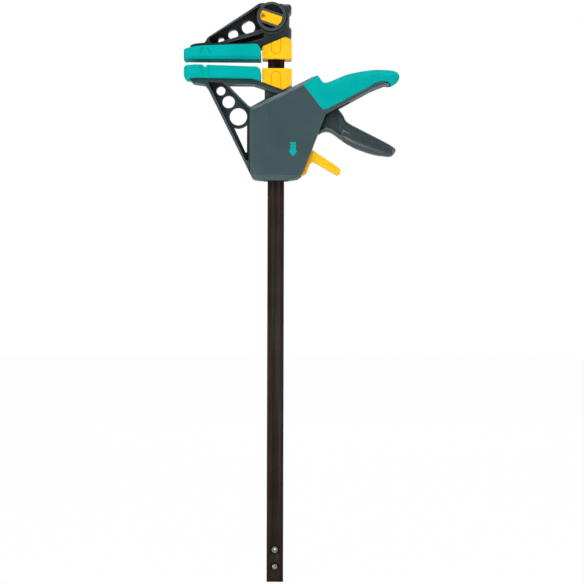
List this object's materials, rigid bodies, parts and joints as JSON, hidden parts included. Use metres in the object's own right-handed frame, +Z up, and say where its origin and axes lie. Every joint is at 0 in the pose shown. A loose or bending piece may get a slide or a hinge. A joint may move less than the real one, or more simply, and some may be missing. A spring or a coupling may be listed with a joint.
{
  "type": "quick release bar clamp",
  "caption": "One-handed bar clamp: a flat bar with a removable fixed jaw, and a sliding pistol-grip carriage with squeeze trigger and release lever.",
  "frame": {"origin": "on the centre line of the bar, level with the foot of the fixed jaw's frame", "axes": "+Z up along the bar towards the fixed jaw, +X from the jaws towards the grip, -Y the side with the locking knob"},
  "size_m": [0.2587, 0.04, 0.6917],
  "materials": {
    "bar_steel": "blackened steel, worn satin",
    "bright_steel": "zinc plated",
    "spring_steel": "drawn wire",
    "hardened_plate": "oiled black",
    "grey_plastic": "fine texture, glass filled",
    "dark_plastic": "fine texture, glass filled",
    "soft_teal": "matte soft plastic",
    "yellow_plastic": "satin moulded"
  },
  "bodies": {
    "bar_and_fixed_jaw": {"bar": "bar_steel", "stop_roll_pins": "spring_steel", "lock_studs": "bright_steel", "fixed_jaw": "dark_plastic", "fixed_pad": "soft_teal", "fixed_bar_guide": "yellow_plastic"},
    "jaw_lock": {"lock_knob": "dark_plastic", "knob_grip_insert": "yellow_plastic", "insert_rivet": "bright_steel", "lock_cam": "bright_steel", "knob_screw": "bright_steel"},
    "carriage": {"housing_front": "grey_plastic", "housing_rear": "grey_plastic", "housing_screws": "bright_steel", "moving_pad": "soft_teal", "moving_bar_guide": "yellow_plastic", "foot_bar_guide": "dark_plastic", "grip_cover": "soft_teal", "trigger_pin": "bright_steel", "release_pin": "bright_steel", "drive_spring": "spring_steel", "brake_spring": "spring_steel"},
    "trigger": {"trigger": "grey_plastic"},
    "drive_plates": {"drive_plate_upper": "hardened_plate", "drive_plate_lower": "hardened_plate"},
    "brake": {"brake_plate": "hardened_plate"},
    "release": {"release_lever": "yellow_plastic"}
  },
  "joints": [
    {"name": "jaw_lock_turn", "type": "hinge", "parent": "bar_and_fixed_jaw", "child": "jaw_lock", "pos_m": [-0.0055, 0, 0.0486], "axis": [0, -1, 0], "range_deg": [0, 90]},
    {"name": "carriage_slide", "type": "slide", "parent": "bar_and_fixed_jaw", "child": "carriage", "axis": [0, 0, -1], "range_m": [-0.0069, 0.4365]},
    {"name": "trigger_squeeze", "type": "hinge", "parent": "carriage", "child": "trigger", "pos_m": [0.031, 0, -0.061], "axis": [0, -1, 0], "range_deg": [0, 24], "stiffness_Nm_per_rad": 0.6, "springref_deg": -20.05},
    {"name": "drive_plates_push", "type": "slide", "parent": "carriage", "child": "drive_plates", "axis": [0, 0, -1], "range_m": [0, 0.006], "deforming": ["drive_spring"]},
    {"name": "release_pull", "type": "hinge", "parent": "carriage", "child": "release", "pos_m": [0.02965, 0, -0.1215], "axis": [0, -1, 0], "range_deg": [0, 13], "stiffness_Nm_per_rad": 0.15, "springref_deg": -17.19},
    {"name": "brake_tilt", "type": "hinge", "parent": "carriage", "child": "brake", "pos_m": [-0.01915, 0, -0.124], "axis": [0, -1, 0], "range_deg": [-5.2, 0], "deforming": ["brake_spring"]}
  ],
  "couplings": [
    {"joint": "drive_plates_push", "follows": "trigger_squeeze", "m_per_rad": 0.0138},
    {"joint": "brake_tilt", "follows": "release_pull", "ratio": -0.39}
  ]
}
